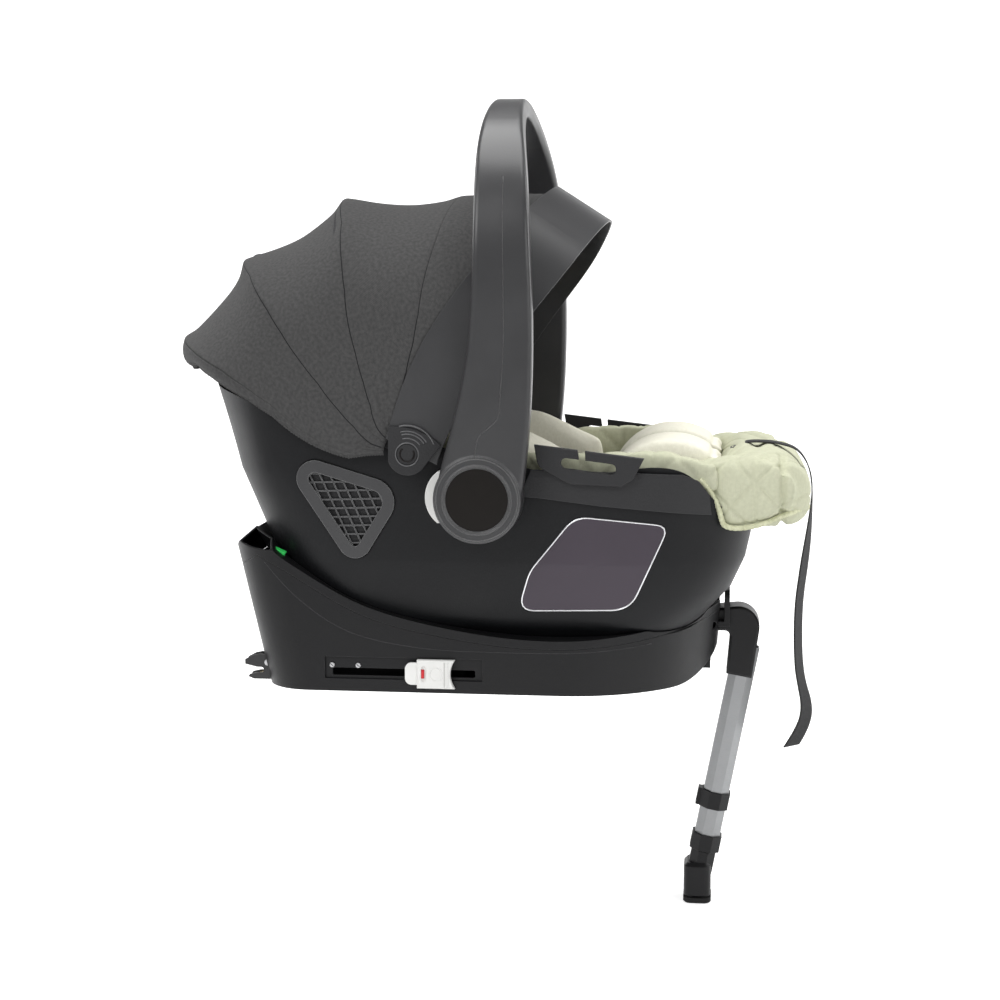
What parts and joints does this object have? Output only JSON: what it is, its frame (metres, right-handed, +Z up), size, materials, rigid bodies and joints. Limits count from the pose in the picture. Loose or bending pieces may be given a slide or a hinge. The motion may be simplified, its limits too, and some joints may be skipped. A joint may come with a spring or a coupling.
{
  "type": "infant car seat",
  "caption": "Infant carrier with a folding fabric canopy and swinging handle, clipped into a vehicle base with anchor connectors and a support leg",
  "frame": {"origin": "midway between the two lower anchor bars that the base's jaws grip, on their common axis", "axes": "+X from the anchor bars towards the support leg, +Y across along the anchor bars, +Z up"},
  "size_m": [0.7133, 0.457, 0.917],
  "materials": {
    "base_plastic": "fine-grained near-black plastic",
    "shell_plastic": "fine-grained near-black plastic",
    "trim_plastic": "grained charcoal plastic",
    "handle_plastic": "satin dark grey plastic",
    "disc_plastic": "satin brown-black plastic",
    "visor_plastic": "smooth satin charcoal",
    "white_plastic": "satin white plastic",
    "red_plastic": "glossy red plastic",
    "lens": "clear green lens",
    "canopy_fabric": "dark charcoal knit",
    "cover_fabric": "quilted sage green cloth",
    "cream_fabric": "soft cream cloth",
    "webbing": "woven black webbing",
    "foam": "moulded foam",
    "aluminium": "satin extruded aluminium",
    "steel": "zinc-plated steel",
    "brass": "yellow-passivated steel",
    "rubber": "matt black rubber"
  },
  "bodies": {
    "base": {"base_lower_housing": "base_plastic", "base_upper_housing": "base_plastic", "indicator_window": "lens", "slider_rail_left": "base_plastic", "slider_rail_right": "base_plastic"},
    "isofix_carriage": {"isofix_cross_tube": "steel", "isofix_arm_left": "steel", "isofix_arm_right": "steel", "isofix_slider_left": "white_plastic", "isofix_slider_right": "white_plastic"},
    "isofix_claw_left": {"isofix_hook_left": "brass"},
    "isofix_claw_right": {"isofix_hook_right": "brass"},
    "release_lever": {"carrier_release": "base_plastic"},
    "leg": {"leg_elbow": "base_plastic", "leg_tube": "aluminium", "leg_collar": "base_plastic"},
    "leg_lock": {"leg_clip": "base_plastic"},
    "leg_extension": {"leg_lower_tube": "aluminium", "leg_foot": "base_plastic"},
    "leg_sole": {"foot_sole": "rubber"},
    "carrier": {"shell": "shell_plastic", "rim_trim_left": "trim_plastic", "rim_trim_right": "trim_plastic", "belt_guide_left": "trim_plastic", "belt_guide_right": "trim_plastic", "vent_grille_left": "trim_plastic", "vent_grille_right": "trim_plastic", "head_trim": "trim_plastic", "latch_bars": "steel", "foam_liner": "foam", "seat_cover": "cover_fabric", "foot_cushion": "cover_fabric", "newborn_insert": "cream_fabric", "head_pillow": "cream_fabric", "leg_bolster_left": "cream_fabric", "leg_bolster_right": "cream_fabric", "crotch_strap": "webbing", "buckle_body": "handle_plastic", "shoulder_straps": "webbing", "adjuster_plate": "trim_plastic", "adjuster_strap": "webbing", "canopy_bow_1": "trim_plastic", "canopy_skirt": "canopy_fabric"},
    "harness_button": {"buckle_button": "red_plastic"},
    "adjuster_tab": {"adjuster_button": "trim_plastic"},
    "handle": {"handle_frame": "handle_plastic", "hub_disc_left": "disc_plastic", "hub_disc_right": "disc_plastic"},
    "handle_release_left": {"handle_button_left": "white_plastic"},
    "handle_release_right": {"handle_button_right": "white_plastic"},
    "rear_bow": {"canopy_bow_2": "trim_plastic", "canopy_panel_1": "canopy_fabric"},
    "middle_bow": {"canopy_bow_3": "trim_plastic", "canopy_panel_2": "canopy_fabric"},
    "front_bow": {"canopy_bow_4": "trim_plastic", "canopy_panel_3": "canopy_fabric"},
    "canopy_front": {"visor": "visor_plastic", "visor_cap_left": "trim_plastic", "visor_cap_right": "trim_plastic", "canopy_panel_4": "canopy_fabric"}
  },
  "joints": [
    {"name": "isofix_slide", "type": "slide", "parent": "base", "child": "isofix_carriage", "axis": [1, 0, 0], "range_m": [-0.08, 0.025]},
    {"name": "isofix_claw_left_turn", "type": "hinge", "parent": "isofix_carriage", "child": "isofix_claw_left", "pos_m": [0.0075, 0.14, 0.0085], "axis": [0, 1, 0], "range_deg": [0, 30]},
    {"name": "isofix_claw_right_turn", "type": "hinge", "parent": "isofix_carriage", "child": "isofix_claw_right", "pos_m": [0.0075, -0.14, 0.0085], "axis": [0, 1, 0], "range_deg": [0, 30]},
    {"name": "release_slide", "type": "slide", "parent": "base", "child": "release_lever", "axis": [1, 0, 0], "range_m": [-0.008, 0]},
    {"name": "leg_fold", "type": "hinge", "parent": "base", "child": "leg", "pos_m": [0.492, 0, 0.042], "axis": [0, -1, 0], "range_deg": [-77.3, 0]},
    {"name": "leg_lock_slide", "type": "slide", "parent": "leg", "child": "leg_lock", "axis": [0.1874, 0, 0.9823], "range_m": [0, 0.005], "stiffness_N_per_m": 300, "springref_m": -0.002},
    {"name": "leg_extend", "type": "slide", "parent": "leg", "child": "leg_extension", "axis": [-0.1874, 0, -0.9823], "range_m": [0, 0.15]},
    {"name": "sole_press", "type": "slide", "parent": "leg_extension", "child": "leg_sole", "axis": [0, 0, 1], "range_m": [0, 0.0025], "stiffness_N_per_m": 800, "springref_m": -0.001},
    {"name": "carrier_lift", "type": "slide", "parent": "base", "child": "carrier", "axis": [0, 0, 1], "range_m": [0, 0.2]},
    {"name": "buckle_press", "type": "slide", "parent": "carrier", "child": "harness_button", "axis": [-1, 0, 0], "range_m": [0, 0.0025], "stiffness_N_per_m": 300, "springref_m": -0.001},
    {"name": "adjuster_press", "type": "slide", "parent": "carrier", "child": "adjuster_tab", "axis": [0.3363, 0, -0.9418], "range_m": [0, 0.0012], "stiffness_N_per_m": 200, "springref_m": -0.001},
    {"name": "handle_swing", "type": "hinge", "parent": "carrier", "child": "handle", "pos_m": [0.2494, 0, 0.2015], "axis": [0, 1, 0], "range_deg": [-115, 0]},
    {"name": "handle_button_left_press", "type": "slide", "parent": "handle", "child": "handle_release_left", "axis": [1, 0, 0], "range_m": [0, 0.0048], "stiffness_N_per_m": 400, "springref_m": -0.002},
    {"name": "handle_button_right_press", "type": "slide", "parent": "handle", "child": "handle_release_right", "axis": [1, 0, 0], "range_m": [0, 0.0048], "stiffness_N_per_m": 400, "springref_m": -0.002},
    {"name": "canopy_fold_rear", "type": "hinge", "parent": "carrier", "child": "rear_bow", "pos_m": [0.173, 0, 0.246], "axis": [0, -1, 0], "range_deg": [0, 16], "deforming": ["canopy_panel_1"]},
    {"name": "canopy_fold_middle", "type": "hinge", "parent": "rear_bow", "child": "middle_bow", "pos_m": [0.173, 0, 0.246], "axis": [0, -1, 0], "range_deg": [0, 19.9], "deforming": ["canopy_panel_2"]},
    {"name": "canopy_fold", "type": "hinge", "parent": "middle_bow", "child": "front_bow", "pos_m": [0.173, 0, 0.246], "axis": [0, -1, 0], "range_deg": [0, 22.6], "deforming": ["canopy_panel_3"]},
    {"name": "visor_fold", "type": "hinge", "parent": "front_bow", "child": "canopy_front", "pos_m": [0.173, 0, 0.246], "axis": [0, -1, 0], "range_deg": [0, 14.1], "deforming": ["canopy_panel_4"]}
  ],
  "couplings": [
    {"joint": "canopy_fold_rear", "follows": "canopy_fold", "ratio": 0.7079},
    {"joint": "canopy_fold_middle", "follows": "canopy_fold", "ratio": 0.8805},
    {"joint": "visor_fold", "follows": "canopy_fold", "ratio": 0.6238}
  ]
}
